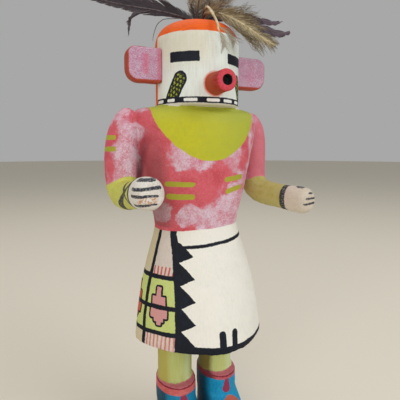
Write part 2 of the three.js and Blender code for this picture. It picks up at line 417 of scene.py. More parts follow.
def box(u, v, centre, half, corner=0.4):
    """Distance to an upright bar with rounded corners in the plane of u and v."""
    across = (abs(u - centre[0]) - (half[0] - corner)).high(0)
    along = (abs(v - centre[1]) - (half[1] - corner)).high(0)
    return (across.squared() + along.squared()).math("SQRT") - corner


def stroke_between(u, v, start, end, radius, end_radius=None):
    """Distance to a brush stroke from start to end, which may widen on the way."""
    du, dv = end[0] - start[0], end[1] - start[1]
    length = math.hypot(du, dv)
    from_u, from_v = u - start[0], v - start[1]
    along = ((from_u * du + from_v * dv) * (1 / length**2)).math("MINIMUM", 1).high(0)
    off_u, off_v = from_u - along * du, from_v - along * dv
    reach = (off_u.squared() + off_v.squared()).math("SQRT")
    if end_radius is None:
        return reach - radius
    return reach - (along * (end_radius - radius) + radius)


# ---- paint of the case mask ----
# White face on an orange crown and back, drawn with narrow black eyes, an ear of corn on each cheek,
# a red ring round the snout and a black band with white dashes along the chin.
EYE = {"middle": 39.5, "half_angle": 20, "z": 245.95, "half_height": 2.75}
CROWN_LINE_Z = 259.3
FACE_HALF_ANGLE = 89
CORN = {"top": (19.6, 234.6), "bottom": (26.6, 221.3), "radius": 4.1, "border": 1.2}
KERNEL = {"across": 2.0, "along": 2.35}
CHIN_BAND = {"low": 221.6, "high": 224.8, "dash_z": 223.15, "dash_half": 0.82}
CHIN_DASHES = [(-82, 7), (-61, 6), (-33.5, 9), (-4, 9), (19.5, 8), (41.5, 7), (62, 7), (83, 6)]
SNOUT_RING = {"angle": 1.0, "z": 231.8, "radius": 6.7}
CROWN_SHADE = {"angle": 84, "half_angle": 58}

mask_paint, tree, shader, place = new_finish("mask_paint", 0.62, 0.22)
x, y, z = drawn(tree, place, 0.25, 0.16)
turn = x.math("ARCTAN2", y * -1) * (180 / math.pi)
aside = abs(turn - MASK["facing"])
mm_per_degree = MASK["radius"] * math.pi / 180
around = aside * mm_per_degree

white = brushed(tree, place, tint(232, 238, 230), tint(206, 208, 196), (1, 1, 0.09), 0.6)
coat = white["Colour"]
rubbed = (grainy(tree, place, 0.5, detail=5, roughness=0.75) - 0.62).ramp(9)
coat = blend(rubbed * 0.4, coat, tint(182, 168, 150))
blush = (grainy(tree, place, 1.1, detail=3, roughness=0.7) - 0.56).ramp(6)
blush = blush.both((grainy(tree, place, 0.07, detail=1) - 0.42).ramp(5))
coat = blend(blush * 0.4, coat, tint(206, 166, 156))

# The white is yellower and darker towards the top of the face on its -x side.
upper_left_tint = (turn + 8).inside(22).both((z * -1 + 243).inside(9))
coat = blend(upper_left_tint * 0.45, coat, tint(206, 190, 150))
# Painted shade: the face turns cooler and darker towards its +x edge.
coat = blend((turn * -1 + 46).inside(16) * 0.35, coat, tint(186, 204, 208))

ring_u = (turn - MASK["facing"] - SNOUT_RING["angle"]) * mm_per_degree
from_snout = (ring_u.squared() + (z - SNOUT_RING["z"]).squared()).math("SQRT")
coat = blend((from_snout - SNOUT_RING["radius"]).inside(1.5), coat, tint(214, 84, 42))

orange = brush_colour(tree, place, tint(236, 98, 20), tint(210, 76, 18), (0.25, 0.25, 1), 0.8)
shaded = (abs(turn - CROWN_SHADE["angle"]) - CROWN_SHADE["half_angle"]).inside(20)
orange = blend(shaded * 0.7, orange, tint(176, 48, 22))
crown = (z * -1 + CROWN_LINE_Z).inside(0.25)
back = (aside * -1 + FACE_HALF_ANGLE).math("MULTIPLY", mm_per_degree).inside(0.3)
coat = blend(crown.either(back), coat, orange)
face = (aside - FACE_HALF_ANGLE).math("MULTIPLY", mm_per_degree).inside(0.3)

black = brush_colour(tree, place, tint(18, 21, 32), tint(34, 40, 54), (0.3, 0.3, 1), 0.5)
eye_half = (EYE["half_angle"] * mm_per_degree, EYE["half_height"])
eyes = box(around, z, (EYE["middle"] * mm_per_degree, EYE["z"]), eye_half, 0.7).inside(0.25)
band_half = (CHIN_BAND["high"] - CHIN_BAND["low"]) / 2
band = (abs(z - CHIN_BAND["low"] - band_half) - band_half).inside(0.25).both(face)
corn = stroke_between(around, z, CORN["top"], CORN["bottom"], CORN["radius"])
corn_mask = corn.inside(0.25).both((z * -1 + CHIN_BAND["low"]).inside(0.25))
coat = blend(eyes.either(band).either(corn_mask), coat, black)

lean = math.atan2(CORN["bottom"][0] - CORN["top"][0], CORN["top"][1] - CORN["bottom"][1])
from_top_u, from_top_z = around - CORN["top"][0], z - CORN["top"][1]
down_cob = from_top_u * math.sin(lean) - from_top_z * math.cos(lean)
across_cob = from_top_u * math.cos(lean) + from_top_z * math.sin(lean)
row = (down_cob * (1 / KERNEL["along"])).math("FLOOR")
shift = row * 0.5
column = (across_cob * (1 / KERNEL["across"]) + shift).math("FRACT") - 0.5
step = (down_cob * (1 / KERNEL["along"])).math("FRACT") - 0.5
wobble = grainy(tree, place, 1.1, detail=2) - 0.5
kernel = ((column * 1.2).squared() + step.squared()).math("SQRT") - 0.33 + wobble * 1.1
on_cob = (corn + CORN["border"]).inside(0.4).both((z * -1 + CHIN_BAND["high"] + 0.2).inside(0.3))
worn_seed = grainy(tree, place, 0.9, detail=2)
kernel_colour = blend((worn_seed - 0.5).ramp(5), tint(160, 166, 62), tint(84, 92, 52))
coat = blend(on_cob * 0.8, coat, tint(40, 44, 26))
coat = blend(on_cob.both(kernel.inside(0.22)), coat, kernel_colour)

for middle, half in CHIN_DASHES:
    size = (half * mm_per_degree, CHIN_BAND["dash_half"])
    dash = box(turn * mm_per_degree, z, (middle * mm_per_degree, CHIN_BAND["dash_z"]), size, 0.6)
    coat = blend(dash.inside(0.25), coat, tint(236, 236, 230))
# Painted shade: the white rim below the chin band is greyed towards cream.
chin_rim_shade = (z - CHIN_BAND["low"]).inside(0.2).both(face)
coat = blend(chin_rim_shade * 0.75, coat, tint(212, 202, 186))
plug(tree, coat, shader.inputs["Base Color"])
add_bump(tree, shader, Signal(tree, white["Height"]), 0.12, 0.45)
figure.data.materials.append(mask_paint)


# ---- paint of the shirt, arms and hands ----
# A red shirt whose paint has rubbed pale and speckled, with a yellow-green yoke and stripes. The
# forearms are yellow-green, the hands off-white with black finger lines and wrist ties.
worn_red, given, made = new_group(
    "worn_red",
    [("Place", "NodeSocketVector", None), ("Left", "NodeSocketFloat", 0.5)],
    [("Colour", "NodeSocketColor"), ("Height", "NodeSocketFloat")],
)
daubs = grainy(worn_red, given[0], 0.13, detail=5, roughness=0.62)
speck = grainy(worn_red, given[0], 1.05, detail=4, roughness=0.85)
kept = Signal(worn_red, given[1]) + (daubs - 0.5) * 1.3 + (speck - 0.5) * 0.9
kept = kept.ramp(3.4, -1.2)
salt = (speck - 0.5).ramp(7)
pepper = (speck * -1 + 0.44).ramp(7)
veil = grainy(worn_red, given[0], 0.17, detail=3)
pale = blend((veil - 0.4).ramp(5), tint(212, 178, 192), tint(204, 134, 150))
pale = blend(salt * 0.8, pale, tint(234, 216, 224))
pale = blend(pepper * 0.6, pale, tint(160, 78, 112))
dots = (grainy(worn_red, given[0], 1.9, detail=1) * -1 + 0.3).ramp(14)
pale = blend(dots * 0.7, pale, tint(110, 62, 92))
deep = grainy(worn_red, given[0], 0.16, detail=3)
full = blend((deep - 0.45).ramp(5), tint(208, 84, 96), tint(196, 66, 78))
full = blend(salt * 0.34, full, tint(222, 146, 156))
full = blend(dots * 0.4, full, tint(128, 40, 56))
plug(worn_red, blend(kept, pale, full), made[0])
plug(worn_red, speck * 0.5 + kept * 0.5, made[1])

YOKE = {"x": -1, "z": 219, "half_width": 32.5, "depth": 29.5, "squareness": 1.75, "back_y": 2}
CHEST_STRIPES = [
    ((-25, 176.9), (-12.2, 176.3), 1.5),
    ((-24, 169.7), (-12, 169.1), 1.6),
    ((9.8, 178.4), (21, 179.8), 1.6),
    ((10.6, 171.5), (21.5, 173.4), 1.5),
]
SLEEVE_STRIPES = {"z": (202.8, 196.4), "half": 1.3, "inner_x": 51.2}
# Where the red is still whole, or is rubbed off: (x, z, half-width, half-height, how much more red).
RED_PATCHES = [
    (-27, 200, 6, 24, 0.8),
    (-12, 178, 26, 8, 0.9),
    (4, 185, 12, 6, 0.5),
    (-18, 168.5, 13, 4.5, 0.8),
    (-1, 165, 6, 6, 0.8),
    (-20.5, 160, 2.6, 9, 0.9),
    (-22, 150.5, 12, 4, 1.1),
    (24, 194, 4, 10, 0.6),
    (-22, 196, 5, 6, -0.9),
    (-13, 187, 12, 4, -0.9),
    (-13, 157, 7, 6.5, -0.9),
    (10, 160, 16, 9, -0.9),
    (14, 172, 4, 4, -0.7),
    (-27, 160, 3, 6, -0.5),
    (-46, 190, 7, 12, -0.9),
    (-44, 206, 6, 8, -0.3),
    (-38, 213, 9, 4, 0.9),
    (-54, 202, 4.5, 9, 0.9),
    (-54, 186, 5, 7, 0.55),
    (-33, 194, 4.5, 22, 0.9),
    (-41, 186, 4, 10, -0.5),
    (46, 196, 9, 24, 0.85),
]
UNDERARM = {"z": 190, "crease_x": -36.8, "crease_half": 1.7, "flank_x": -27.5}
SLEEVE_END = {"z": 179.9, "shift": -1.3, "fall": 0.045, "middle": 45, "front_y": -6.2, "inner_x": 35.5}
RIGHT_WRIST_Y = -30.6
LEFT_WRIST = {"x": 45, "across": 0.31, "along": 0.95, "reach": 24.4}

shirt_paint, tree, shader, place = new_finish("shirt_paint", 0.66)
x, y, z = drawn(tree, place, 0.4, 0.2)
rough_x, _, rough_z = drawn(tree, place, 3.2, 0.9)
front = (y - 8).inside(4)
left_red = 0.42
for centre_x, centre_z, half_x, half_z, more in RED_PATCHES:
    off = ((rough_x - centre_x) * (1 / half_x)).squared() + ((rough_z - centre_z) * (1 / half_z)).squared()
    spread = (off * -0.7 + 1.1).ramp(1)
    left_red = spread * (0.55 * more) + left_red
left_red = (left_red - 0.45) * front + 0.45
red = use_group(tree, worn_red, {"Place": place, "Left": left_red})
coat = red["Colour"]

# Painted shade on the flank, and a painted shadow along the crease between the body and the right upper
# arm.
above_middle = z - UNDERARM["z"]
crease = abs(x - UNDERARM["crease_x"] - above_middle * 0.06) - UNDERARM["crease_half"]
crease_shadow = crease.inside(1.8).both((z - 196).inside(24)).both((z * -1 + 166).inside(6))
flank = (x - UNDERARM["flank_x"] + above_middle * 0.14).inside(5)
flank = flank.both((x * -1 - 37).inside(1.5)).both((z - 200).inside(24))
on_front = (y - 12).inside(4)
coat = blend(flank.both(on_front) * 0.55, coat, tint(128, 66, 72))
coat = blend(crease_shadow.both(on_front) * 0.9, coat, tint(84, 14, 32))

far_sleeve = (x * -1 + 36).inside(2).both(front)
coat = blend(far_sleeve * 0.45, coat, tint(208, 132, 146))

stripe_colour = brush_colour(tree, place, tint(172, 166, 42), tint(150, 146, 40), (0.2, 1, 1), 0.6)
stripes = None
for start, end, radius in CHEST_STRIPES:
    mark = stroke_between(x, z, start, end, radius).inside(0.3).both(front)
    stripes = mark if stripes is None else stripes.either(mark)
outer = (abs(x) * -1 + SLEEVE_STRIPES["inner_x"]).inside(0.3)
for stripe_z in SLEEVE_STRIPES["z"]:
    stripes = stripes.either((abs(z - stripe_z) - SLEEVE_STRIPES["half"]).inside(0.3).both(outer))
coat = blend(stripes, coat, stripe_colour)

power = YOKE["squareness"]
yoke_u = (abs(x - YOKE["x"]) * (1 / YOKE["half_width"])).math("POWER", power)
yoke_v = ((z * -1 + YOKE["z"]).high(0) * (1 / YOKE["depth"])).math("POWER", power)
yoke = ((yoke_u + yoke_v - 1) * 15).inside(0.3).both((y - YOKE["back_y"]).inside(0.4))
yellow = brush_colour(tree, place, tint(194, 190, 8), tint(178, 178, 36), (0.4, 1, 0.4), 0.8)
# Painted shade: the yoke is darker towards the +x side and just under the chin.
yellow = blend((x * -1 + 2).inside(30) * 0.75, yellow, tint(170, 176, 48))
yellow = blend((z * -1 + 214).inside(9) * 0.5, yellow, tint(164, 172, 70))
grit = (grainy(tree, place, 1.5, detail=1) * -1 + 0.29).ramp(14)
yellow = blend(grit * 0.5, yellow, tint(120, 120, 40))
coat = blend(yoke, coat, yellow)

side = x.math("SIGN")
beside_body = (y * -1 - 14).inside(0.5).both(x.inside(0.5))
arm = (abs(x) * -1 + beside_body * 3.6 + SLEEVE_END["inner_x"]).inside(0.2)
bow = (abs(x) - SLEEVE_END["middle"]).squared() * SLEEVE_END["fall"]
sleeve_z = side * SLEEVE_END["shift"] + SLEEVE_END["z"] - bow
below_sleeve = (z - sleeve_z).inside(0.3).either((y - SLEEVE_END["front_y"]).inside(0.3))
forearm = arm.both(below_sleeve).both((z - 190).inside(1))
skin = brush_colour(tree, place, tint(202, 202, 88), tint(178, 174, 92), (1, 0.15, 1), 0.7)
shade_side = (side * -1).inside(0.5)
skin = blend(shade_side * 0.75, skin, tint(174, 160, 104))
mottle = (grainy(tree, place, 0.28, detail=5, roughness=0.7) - 0.5).ramp(7)
skin = blend(mottle * shade_side * 0.6, skin, tint(160, 152, 38))
skin = blend(grit * 0.7, skin, tint(112, 100, 62))
coat = blend(forearm, coat, skin)

right_reach = y * -1 + RIGHT_WRIST_Y
left_reach = (x - LEFT_WRIST["x"]) * LEFT_WRIST["across"] - y * LEFT_WRIST["along"] - LEFT_WRIST["reach"]
is_left = (side * -1).inside(0.5)
past_wrist = left_reach * is_left + right_reach * (is_left * -1 + 1)
hand = (past_wrist * -1).inside(0.3).both(arm)
hand_white = brush_colour(tree, place, tint(224, 218, 208), tint(196, 184, 170), (1, 1, 1), 0.8)
chip = (grainy(tree, place, 0.8, detail=4, roughness=0.7) - 0.62).ramp(10)
hand_white = blend(chip * 0.6, hand_white, tint(176, 140, 104))
hand_white = blend(is_left * (chip * 0.3 + 0.4), hand_white, tint(188, 164, 126))
coat = blend(hand, coat, hand_white)

# Wrist ties and finger lines: (start, end, radius, end radius), in y and z on the outer side of the
# right forearm, in x and z on the right fist's front, and in reach and z on the left fist.
TIE_ENDS = [((-29.5, 168.5), (-17, 179.8), 0.8, 1.3), ((-29.5, 179.5), (-13.5, 165.6), 0.9, 2.3)]
RIGHT_FINGERS = [
    ((-50.5, 181.6), (-42, 182), 0.75, 0.9),
    ((-52.2, 177.3), (-40.2, 178), 0.8, 0.95),
    ((-52, 174), (-41.5, 174), 0.8, 0.6),
    ((-51, 169.4), (-42, 170.2), 0.75, 0.5),
]
LEFT_FINGERS = [
    ((6.5, 173.6), (11.5, 172.6), 0.35, 0.3),
    ((16.2, 170), (18.2, 171), 0.7, 0.9),
    ((15.8, 166.6), (18, 167), 0.6, 0.9),
    ((15, 163.3), (17.2, 163.6), 0.6, 0.8),
]
ink = brush_colour(tree, place, tint(26, 30, 40), tint(62, 70, 88), (0.4, 1, 1), 0.7)
outside = (x + 46.5).inside(0.5)
marks = (abs(past_wrist + 0.2) - 1.15 - is_left * 0.75).inside(0.3)
worn_ink = (grainy(tree, place, 0.85, detail=3, roughness=0.75) - 0.36).ramp(8)
for start, end, radius, end_radius in TIE_ENDS:
    marks = marks.either(stroke_between(y, z, start, end, radius, end_radius).inside(0.3).both(outside))
fist_front = (y + 36).inside(0.5)
for start, end, radius, end_radius in RIGHT_FINGERS:
    line = stroke_between(x, z, start, end, radius, end_radius).inside(0.3)
    marks = marks.either(line.both(fist_front))
for start, end, radius, end_radius in LEFT_FINGERS:
    line = stroke_between(left_reach, z, start, end, radius, end_radius).inside(0.3)
    marks = marks.either(line.both(is_left))
bare = box(x, z, (-46.2, 172), (4.4, 1.7), 1.2).inside(1.4).both(fist_front)
scraped = (grainy(tree, place, 0.9, detail=3, roughness=0.7) - 0.46).ramp(12)
coat = blend(bare.both(scraped) * 0.9, coat, tint(190, 132, 84))
marks = marks.both(arm).both(worn_ink * 0.45 + 0.55)
plug(tree, blend(marks, coat, ink), shader.inputs["Base Color"])
add_bump(tree, shader, Signal(tree, red["Height"]), 0.16, 0.4)
figure.data.materials.append(shirt_paint)


# ---- paint of the kilt ----
# A white kilt that hangs from a black belt line. A toothed black band runs down its open edge beside a
# panel in yellow-green with stepped crosses, and a black border follows the hem.
BAND = {"left_x": -22.2, "spread": 0.08, "top_x": -19.2, "top_end_z": 142.1}
TEETH = {"first_z": 134.6, "pitch": 12.2, "drop": 3.4, "tip_x": -12.5, "root_x": -20, "spread": 0.09}
BELT = {"z": 140.4, "rise": 0.06, "bow": 0.0009, "half": 0.95}
HEM_BORDER = {"z": 85.4, "rise": -0.075}
HEM_STROKES = [((-2.6, 84), (-2.1, 92.1), 2.1), ((5.3, 83), (6.4, 91.5), 2.1)]
PANEL = {"line_y": -3.9, "slant": 0.1266, "line_half": 1.2, "width": 20.5}
PANEL_BANDS_Z = (122.8, 106.3, 92)
PANEL_BAND_HALF = 1.25
TASSEL_LENGTH = 5.6
PANEL_FRONT_X = -16
CROSS = {"middle": -4.9, "lean": -0.1, "outline": 1.15}
# Boxes that make up the stepped cross: (height of the middle, half-width, half-height).
CROSS_STEPS = [(114.6, 1.5, 2.6), (109.2, 4.3, 2.9), (103.4, 5.4, 3), (99.8, 3, 1.6), (98.4, 1.4, 1.9)]
FRINGE_PITCH = 2.5

kilt_paint, tree, shader, place = new_finish("kilt_paint", 0.66, 0.22)
x, y, z = drawn(tree, place, 0.35, 0.2)
white = brushed(tree, place, tint(238, 234, 222), tint(226, 224, 212), (1, 1, 0.07), 0.75)
scuffs = (grainy(tree, place, 0.7, detail=4, roughness=0.75) - 0.66).ramp(9)
coat = blend(scuffs * 0.3, white["Colour"], tint(196, 180, 156))

along_panel = x * 0.58 - y * 0.81
line_y = (z - WAIST["z"]) * PANEL["slant"] + PANEL["line_y"]
behind_line = y - line_y
second = (behind_line * -1).inside(0.3)
front_edge_x = (z - WAIST["z"]) * BAND["spread"] + BAND["left_x"]
in_panel = (x - front_edge_x - 0.6).inside(0.3).both((behind_line - PANEL["width"]).inside(0.3))

field = brush_colour(tree, place, tint(200, 210, 128), tint(182, 194, 100), (1, 1, 0.3), 0.8)
pale = brush_colour(tree, place, tint(214, 202, 190), tint(196, 180, 168), (1, 1, 0.3), 0.8)
pale = blend(second, pale, tint(206, 192, 156))
top_z, middle_z, low_z = PANEL_BANDS_Z
panel = blend((z - top_z).inside(0.3), pale, field)

stripe = (along_panel * (1 / FRINGE_PITCH)).math("FRACT")
stripe_mask = (abs(stripe - 0.5) - 0.2).inside(0.12)
fringe = brush_colour(tree, place, tint(222, 210, 192), tint(210, 178, 170), (1, 1, 0.3), 1)
uneven = grainy(tree, scaled(tree, place, (0.5, 0.5, 0.05)), 0.9, detail=1)
fringe_red = blend((uneven - 0.5).ramp(6), tint(196, 104, 100), tint(222, 156, 150))
fringe = blend(stripe_mask * 0.85, fringe, fringe_red)
fringe = blend(second, fringe, tint(208, 192, 156))
panel = blend((z - low_z).inside(0.3), panel, fringe)
tassels = (z - top_z - TASSEL_LENGTH).inside(0.5).both((z * -1 + top_z).inside(0.3)).both(second * -1 + 1)
panel = blend(tassels.both(stripe_mask), panel, tint(200, 92, 84))

cross_u = along_panel - ((z - middle_z) * CROSS["lean"] + CROSS["middle"])
second_u = behind_line - PANEL["width"] / 2
cross = None
for step_z, half_width, half_height in CROSS_STEPS:
    for u in (cross_u, second_u):
        step = box(u, z, (0, step_z), (half_width, half_height), 0.3)
        cross = step if cross is None else cross.low(step)
cross_fill = blend(second, tint(210, 150, 146), tint(196, 92, 66))
ink = brush_colour(tree, place, tint(15, 19, 28), tint(26, 36, 52), (1, 1, 0.2), 0.7)
panel = blend((cross - CROSS["outline"]).inside(0.25), panel, ink)
panel = blend(cross.inside(0.25), panel, cross_fill)

lines = (abs(behind_line) - PANEL["line_half"]).inside(0.25)
lines = lines.either((abs(behind_line - PANEL["width"]) - PANEL["line_half"]).inside(0.25))
for band_z in PANEL_BANDS_Z:
    lines = lines.either((abs(z - band_z) - PANEL_BAND_HALF).inside(0.25))
panel = blend(lines, panel, ink)
panel_mask = in_panel.both((x - PANEL_FRONT_X).inside(0.3))
coat = blend(panel_mask, coat, panel)

# The band's toothed edge is a ramp that falls back at each tooth.
fall = (z * -1 + TEETH["first_z"]) * (1 / TEETH["pitch"])
phase = fall.math("FRACT")
back_share = TEETH["drop"] / TEETH["pitch"]
ramp_back = (phase * (1 / back_share)).math("MINIMUM", 1)
ramp_out = ((phase - back_share) * (1 / (1 - back_share))).high(0)
reach = TEETH["tip_x"] - TEETH["root_x"]
edge = (ramp_out - ramp_back) * reach + TEETH["tip_x"] + (z - TEETH["first_z"]) * TEETH["spread"]
above = (z * -1 + BAND["top_end_z"]).inside(0.2)
tooth_edge = edge * (above * -1 + 1) + above * BAND["top_x"]
band = (x - tooth_edge).inside(0.25).both((x * -1 + front_edge_x).inside(0.25)).both(y.inside(0.5))
belt_z = x * BELT["rise"] + x.squared() * BELT["bow"] + BELT["z"]
belt = (abs(z - belt_z) - BELT["half"]).inside(0.35)
right_of_band = (x * -1 + BAND["top_x"]).inside(0.3).either((y * -1 + 14).inside(0.5))
belt = belt.both(right_of_band)
border = (z - x * HEM_BORDER["rise"] - HEM_BORDER["z"]).inside(0.25)
border = border.both((x * -1 + front_edge_x).inside(0.25).either((y * -1 + 18).inside(0.5)))
marks = band.either(belt).either(border)
for start, end, radius in HEM_STROKES:
    marks = marks.either(stroke_between(x, z, start, end, radius).inside(0.25).both(y.inside(0.5)))
coat = blend(marks, coat, ink)

hem_z = x * HEM["slope"] + HEM["z"]
underside = (z - hem_z - 0.35).inside(0.3)
waist_z = x * WAIST["slope"] + WAIST["z"]
shirt_edge = (z * -1 + waist_z).inside(0.3)
left_red = (x + 8).inside(3) * 0.6 + 0.12
red = use_group(tree, worn_red, {"Place": place, "Left": left_red})
coat = blend(shirt_edge, coat, red["Colour"])
coat = blend(underside, coat, tint(120, 104, 78))
plug(tree, coat, shader.inputs["Base Color"])
add_bump(tree, shader, Signal(tree, white["Height"]), 0.14, 0.5)
figure.data.materials.append(kilt_paint)


# ---- paint of the legs and boots ----
# Yellow-green legs stand in blue boots. Each boot has a dusty red ledge and cuff at its top, a red tab
# that hangs from the cuff in front, a red patch over the instep and a pale sole.
BOOT = {"top_z": 48.8, "rim_z": 48.05, "cuff_low_z": 44.9, "sole_z": 14.2}
TAB = {"x": 15.2, "neck": 1.2, "belly": 2.7, "belly_z": 39.6}
INSTEP = {"x": 16.5, "y": -20, "half_x": 6.5, "half_y": 4.5, "low_z": 22}
boot_paint, tree, shader, place = new_finish("boot_paint", 0.6, 0.25)
x, y, z = drawn(tree, place, 0.35, 0.22)
outward = abs(x)
leg = brushed(tree, place, tint(192, 200, 126), tint(180, 184, 98), (1, 1, 0.1), 0.9)
# The near leg's -x side turns olive: partly its own paint, partly painted shade.
coat = blend((x + 22.5).inside(2.5) * 0.7, leg["Colour"], tint(176, 156, 60))
# Painted shade on the inner side of the far leg.
coat = blend((abs(x - 4.6) - 3.2).inside(2.4) * 0.85, coat, tint(92, 70, 14))
lit_edge = (abs(x + 10) - 2.2).inside(3).either((x * -1 + 18).inside(4))
coat = blend(lit_edge * 0.6, coat, tint(208, 222, 172))

blue = brush_colour(tree, place, tint(0, 134, 178), tint(36, 160, 204), (1, 1, 0.5), 0.9)
# Painted shade: a darker copy of the blue on the boots' inner sides and the near boot's -x edge, and
# faintly over the whole near boot.
shaded_blue = brush_colour(tree, place, tint(14, 62, 82), tint(24, 92, 120), (1, 1, 0.4), 0.9)
inner_side = (outward - 4.6).inside(2.4)
blue = blend(inner_side.either((x + 25).inside(2)), blue, shaded_blue)
blue = blend((x + 5).inside(1) * 0.3, blue, shaded_blue)
boot = (z - BOOT["top_z"] - 0.35).inside(0.3)
coat = blend(boot, coat, blue)

cuff = brush_colour(tree, place, tint(196, 84, 80), tint(212, 132, 132), (0.2, 0.2, 1), 0.9)
cuff = blend((x * -1).inside(1) * 0.45, cuff, tint(164, 50, 76))
# Painted shade on the far boot's inner side, over its cuff and ledge.
far_inner_shade = (x - 7.2).inside(2.6).both((x * -1 + 1).inside(1)) * 0.85
cuff = blend(far_inner_shade, cuff, tint(76, 32, 38))
cuff_low = x.math("SIGN") * 1.2 + BOOT["cuff_low_z"]
cuff_mask = (z * -1 + cuff_low).inside(0.3).both(boot)
coat = blend(cuff_mask, coat, cuff)
tab_u = outward - x.inside(1) * 1.4
tab_top = (TAB["x"], BOOT["cuff_low_z"] + 1.6)
tab = stroke_between(tab_u, z, tab_top, (TAB["x"] - 0.6, TAB["belly_z"]), TAB["neck"], TAB["belly"])
tab_mask = tab.inside(0.25).both((y + 4).inside(0.5)).both((z - cuff_low).inside(0.3))
coat = blend(tab_mask, coat, tint(146, 50, 78))
instep = ((outward - INSTEP["x"]) * (1 / INSTEP["half_x"])).squared()
instep = instep + ((y - INSTEP["y"]) * (1 / INSTEP["half_y"])).squared()
instep_mask = ((instep - 1) * 3).inside(0.3).both((z * -1 + INSTEP["low_z"]).inside(0.5))
coat = blend(instep_mask, coat, tint(186, 96, 78))
ledge = (abs(z - BOOT["top_z"]) - 0.42).inside(0.2)
ledge_paint = brush_colour(tree, place, tint(204, 116, 124), tint(176, 76, 86), (0.6, 0.6, 1), 0.8)
# The same painted shade on the far boot's inner side.
ledge_paint = blend(far_inner_shade, ledge_paint, tint(76, 32, 38))
coat = blend(ledge, coat, ledge_paint)
rim = (abs(z - BOOT["rim_z"]) - 0.35).inside(0.25)
coat = blend(rim, coat, tint(124, 32, 48))
sole = (z - BOOT["sole_z"]).inside(0.3)
coat = blend(sole, coat, tint(206, 192, 160))
plug(tree, coat, shader.inputs["Base Color"])
add_bump(tree, shader, Signal(tree, leg["Height"]), 0.16, 0.5)
figure.data.materials.append(boot_paint)
dress(figure, "figure")


# ---- ears ----
# Two flat blocks with rounded outer corners, sawn from thin board and glued to the sides of the mask.
# Their fronts are stippled pink over white, with a red streak rubbed down the middle; edges are brick red.
EAR = {"front_y": -6.6, "middle": (27, 243.6), "half": (16.4, 8.8), "corner": 4.8}
EAR_STREAK = {"x": 34, "z": 243, "half": 4.6}
EAR_SEAM_X = 27.2
ear_paint, tree, shader, place = new_finish("ear_paint", 0.62)
x, y, z = drawn(tree, place, 0.3, 0.2)
reach = abs(x)
stipple = grainy(tree, place, 1.9, detail=3, roughness=0.75)
cloud = grainy(tree, place, 0.16, detail=3, roughness=0.6)
pink = blend(stipple.ramp(4.6, -1.7), tint(200, 110, 146), tint(242, 214, 226))
pink = blend(cloud.ramp(4, -1.7) * 0.55, pink, tint(212, 112, 148))
specks = (grainy(tree, place, 1.3, detail=1) * -1 + 0.3).inside(0.05)
pink = blend(specks * 0.45, pink, tint(120, 84, 116))
streak = abs(reach - EAR_STREAK["x"]) * 0.55
streak = streak.high(abs(z - EAR_STREAK["z"]) - EAR_STREAK["half"])
near_side = (x + 10).inside(1)
streak_mask = (streak - 0.5 + (stipple - 0.5) * 1.6).inside(1.9)
pink = blend(streak_mask * (near_side * 0.5 + 0.2), pink, tint(206, 62, 100))
seam = (reach - EAR_SEAM_X + (stipple - 0.5)).inside(1.4).both(near_side)
pink = blend(seam * 0.55, pink, tint(206, 80, 108))
red = brushed(tree, place, tint(158, 52, 26), tint(188, 78, 46), (1, 1, 0.4), 0.9)
front = (y + x * 0.028 - EAR["front_y"] - 0.6 + (stipple - 0.5) * 0.4).inside(0.4)
face_shape = box(reach, z, EAR["middle"], EAR["half"], EAR["corner"])
front = front.both((face_shape + (stipple - 0.5) * 0.6).inside(0.5))
coat = blend(front, red["Colour"], pink)
plug(tree, coat, shader.inputs["Base Color"])
add_bump(tree, shader, stipple, 0.2, 0.6)
for side in ("right", "left"):
    ear = fine_copy("ear_block_" + side, "ear_" + side, 0.42, 4)
    knife_marks(ear, 0.1, 5)
    dress(ear, "ear_" + side, ear_paint)


# ---- snout ----
# A short turned tube of wood glued low on the mask, with a hole drilled in its end. It is orange-red
# along its side and rose red round the hole, and the hole is black.
SNOUT = {"x": -0.9, "z": 231.8, "tip_y": -39, "length": 14, "hole": 2.7}
snout_paint, tree, shader, place = new_finish("snout_paint", 0.6, 0.3)
x, y, z = drawn(tree, place, 0.2, 0.15)
rays = grainy(tree, scaled(tree, place, (1, 0.25, 1)), 0.9, detail=3, roughness=0.65)
side_red = blend(rays.ramp(2.6, -0.8), tint(142, 32, 16), tint(186, 56, 40))
depth = (y - SNOUT["tip_y"]) * (1 / SNOUT["length"])
side_red = blend(depth.ramp(2.2, -0.5), side_red, tint(170, 66, 26))
from_axis = ((x - SNOUT["x"]).squared() + (z - SNOUT["z"]).squared()).math("SQRT")
rose = blend(rays.ramp(2, -0.6), tint(192, 52, 64), tint(216, 80, 92))
coat = blend((depth - 0.07).inside(0.06), side_red, rose)
coat = blend((from_axis - SNOUT["hole"] - 0.1).inside(0.2), coat, tint(26, 30, 32))
plug(tree, coat, shader.inputs["Base Color"])
add_bump(tree, shader, rays, 0.15, 0.6)
snout = fine_copy("snout_tube", "snout", 0.33, 2)
knife_marks(snout, 0.06, 4)
dress(snout, "snout", snout_paint)


# ---- feathers ----
# A bunch of real feathers stands in the hole in the crown: a long dark one and a purple one swept to
# the sides, two soft brown ones, a tan one hanging forward and a thin stripped quill with its down.
# Every barb is a strand of its own that grows from the shaft, and barbs cling together in clumps.
def named_value(tree, name, kind):
    """A value kept on the geometry under a name."""
    node = add_node(tree, "GeometryNodeInputNamedAttribute", {"Name": name}, data_type=kind)
    return node.outputs[0]


def keep_value(tree, geometry, name, kind, domain, value):
    """Keeps a value on the geometry under a name."""
    node = add_node(tree, "GeometryNodeStoreNamedAttribute", data_type=kind, domain=domain)
    plug(tree, geometry, node.inputs["Geometry"])
    plug(tree, name, node.inputs["Name"])
    plug(tree, value, node.inputs["Value"])
    return node.outputs[0]


